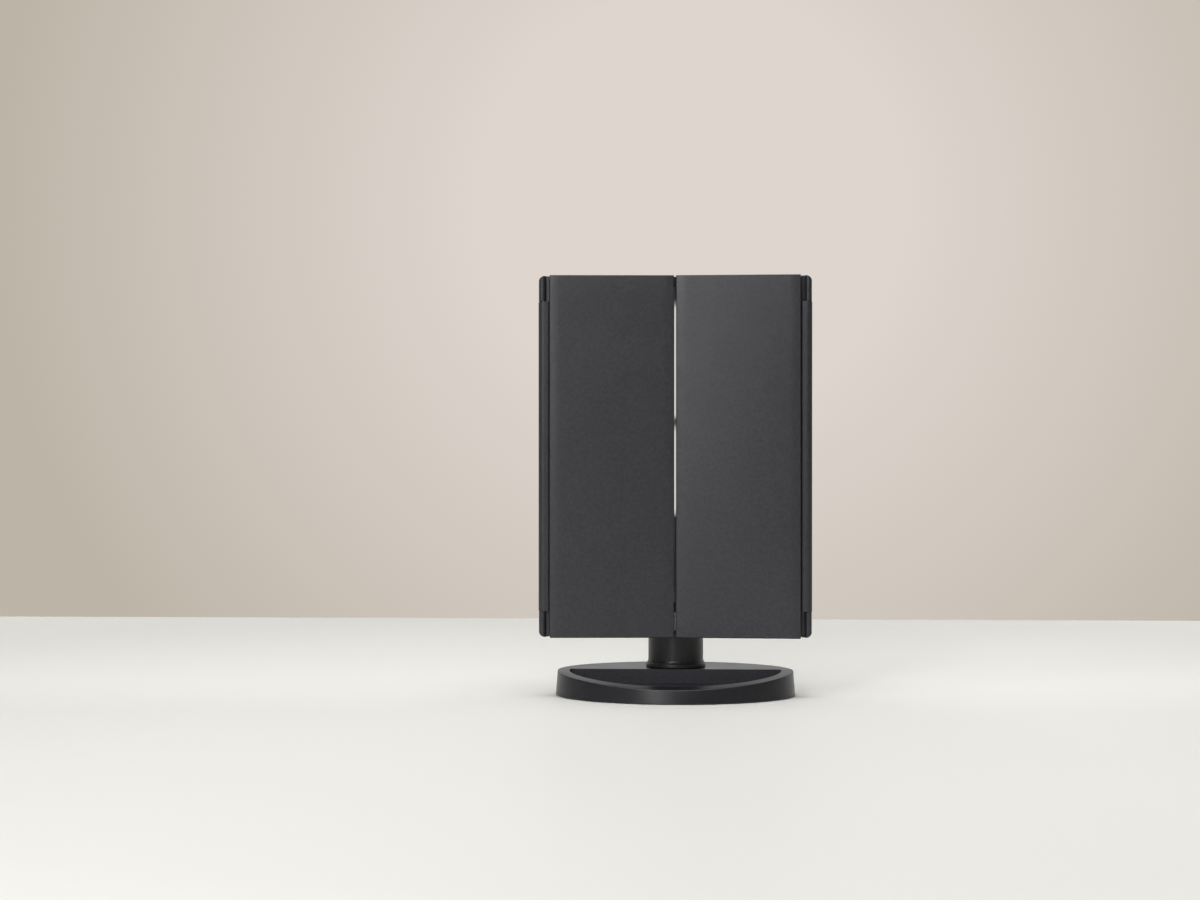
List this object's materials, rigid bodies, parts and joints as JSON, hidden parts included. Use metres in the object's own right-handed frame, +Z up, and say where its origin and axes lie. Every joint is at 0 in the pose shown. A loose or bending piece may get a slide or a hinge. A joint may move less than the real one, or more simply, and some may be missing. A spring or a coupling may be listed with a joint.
{
  "type": "trifold vanity mirror",
  "caption": "Free-standing lit vanity mirror that folds shut: side wings on vertical barrel hinges, a tilting head on a round neck, and an oval base with a half-moon tray.",
  "frame": {"origin": "on the table, under the middle of the oval base", "axes": "+Z up, -Y towards the user and the closed wings' covers, +X to the right as the user sees it"},
  "size_m": [0.1788, 0.117, 0.2758],
  "materials": {
    "charcoal_plastic": "fine spark-eroded grain, broad soft sheen",
    "satin_plastic": "satin black moulding",
    "weight_steel": "raw plate",
    "pad_rubber": "matte",
    "steel": "plain plated steel",
    "mirror_glass": "polished silvered glass",
    "frosted_plastic": "frosted",
    "circuit_board": "solder mask",
    "wire_jacket": "soft jacket",
    "cell_jacket": "plain sleeve",
    "contact_copper": "sprung strip",
    "coated_metal": "black powder coat",
    "knob_plastic": "ribbed"
  },
  "bodies": {
    "stand": {"base_shell": "satin_plastic", "base_plate": "satin_plastic", "counterweight": "weight_steel", "base_pad": "pad_rubber", "base_screws": "steel", "neck_collar": "satin_plastic", "neck_pillar": "satin_plastic", "neck_screws": "steel", "tilt_axle": "steel", "tilt_nut": "steel", "friction_washers": "steel", "axle_caps": "satin_plastic"},
    "panel": {"rear_housing": "charcoal_plastic", "front_frame": "charcoal_plastic", "centre_mirror": "mirror_glass", "left_light_diffuser": "frosted_plastic", "right_light_diffuser": "frosted_plastic", "left_led_strip": "circuit_board", "right_led_strip": "circuit_board", "touch_key": "frosted_plastic", "touch_board": "circuit_board", "control_board": "circuit_board", "switch_body": "steel", "usb_socket": "steel", "lead_wires": "wire_jacket", "battery_cell_1": "cell_jacket", "battery_cell_2": "cell_jacket", "battery_cell_3": "cell_jacket", "battery_cell_4": "cell_jacket", "battery_contacts": "contact_copper", "tilt_bracket": "coated_metal", "bracket_screws": "steel", "housing_screws": "steel", "left_hinge_pins": "steel", "right_hinge_pins": "steel", "frame_bumpers": "pad_rubber"},
    "left_wing": {"left_wing_frame": "charcoal_plastic", "left_wing_cover": "charcoal_plastic", "left_upper_mirror": "mirror_glass", "left_lower_mirror": "mirror_glass"},
    "right_wing": {"right_wing_frame": "charcoal_plastic", "right_wing_cover": "charcoal_plastic", "right_mirror": "mirror_glass"},
    "battery_door": {"battery_door": "charcoal_plastic"},
    "switch_slider": {"switch_slider": "knob_plastic"}
  },
  "joints": [
    {"name": "head_tilt", "type": "hinge", "parent": "stand", "child": "panel", "pos_m": [0, 0.025, 0.085], "axis": [-1, 0, 0], "range_deg": [-5, 60]},
    {"name": "left_wing_hinge", "type": "hinge", "parent": "panel", "child": "left_wing", "pos_m": [-0.0861, -0.0145, 0.15745], "axis": [0, 0, -1], "range_deg": [0, 183.5]},
    {"name": "right_wing_hinge", "type": "hinge", "parent": "panel", "child": "right_wing", "pos_m": [0.0861, -0.0145, 0.15745], "axis": [0, 0, 1], "range_deg": [0, 183.5]},
    {"name": "battery_door_slide", "type": "slide", "parent": "panel", "child": "battery_door", "axis": [0, 0, 1], "range_m": [0, 0.047]},
    {"name": "power_switch_slide", "type": "slide", "parent": "panel", "child": "switch_slider", "axis": [1, 0, 0], "range_m": [0, 0.003]}
  ]
}
